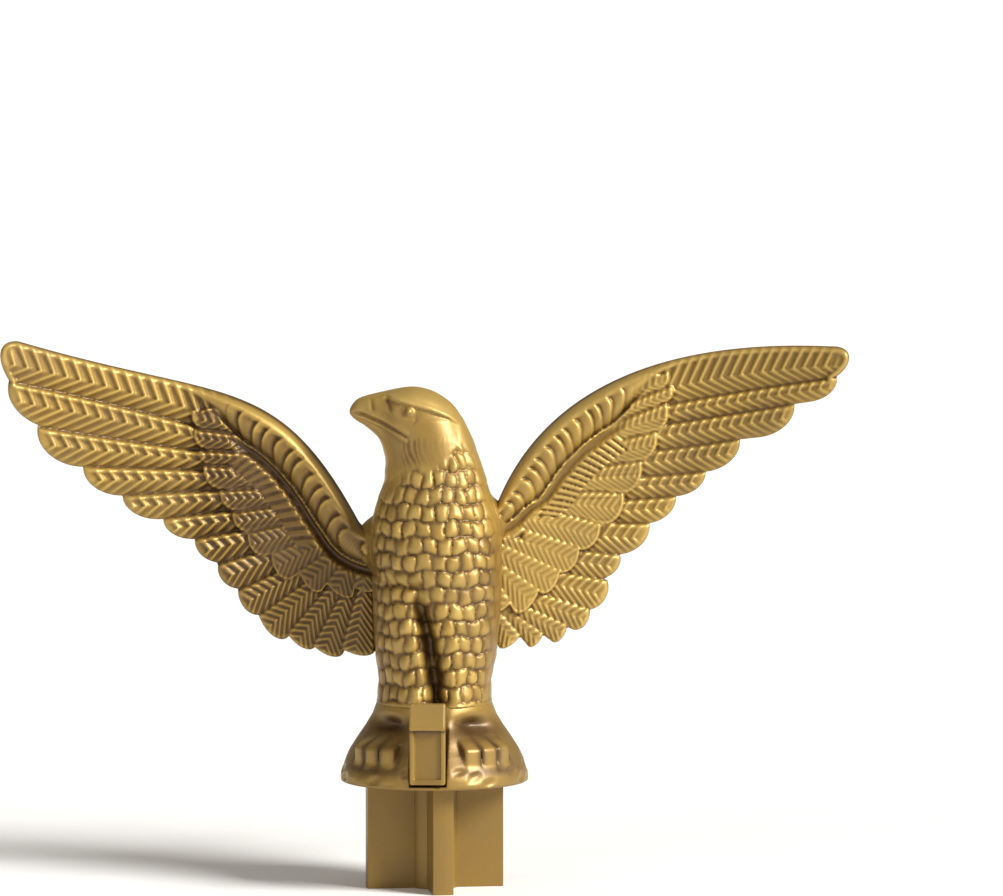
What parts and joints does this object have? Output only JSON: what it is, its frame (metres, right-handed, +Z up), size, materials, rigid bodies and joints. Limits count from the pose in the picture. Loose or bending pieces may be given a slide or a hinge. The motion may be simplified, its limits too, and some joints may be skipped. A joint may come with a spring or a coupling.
{
  "type": "flag pole topper",
  "caption": "Gold spread-winged eagle topper for a flag pole, with a bell base, a cross-shaped pole plug that it turns on, and a sprung flag clip.",
  "frame": {"origin": "on the pole's axis, in the plane where the base's underside rests on the end of the pole", "axes": "+Z up along the pole, -Y the way the breast and the flag clip face, +X towards the bird's own left wing"},
  "size_m": [0.1473, 0.0342, 0.0961],
  "materials": {
    "gold_plastic": "satin pearl gold moulding, darker in the recesses",
    "steel": "zinc plated"
  },
  "bodies": {
    "plug": {"pole_plug": "gold_plastic"},
    "eagle": {"pivot_washer": "steel", "pivot_screw": "steel", "perch_base": "gold_plastic", "front_shell": "gold_plastic", "rear_shell": "gold_plastic", "left_wing": "gold_plastic", "right_wing": "gold_plastic"},
    "clip": {"flag_clip": "gold_plastic"}
  },
  "joints": [
    {"name": "eagle_turn", "type": "hinge", "parent": "plug", "child": "eagle", "pos_m": [0, 0, 0.004], "axis": [0, 0, 1], "continuous": true},
    {"name": "clip_flex", "type": "hinge", "parent": "eagle", "child": "clip", "pos_m": [-0.0002, -0.014, 0.0024], "axis": [-1, 0, 0], "range_deg": [0, 8], "stiffness_Nm_per_rad": 0.05}
  ]
}
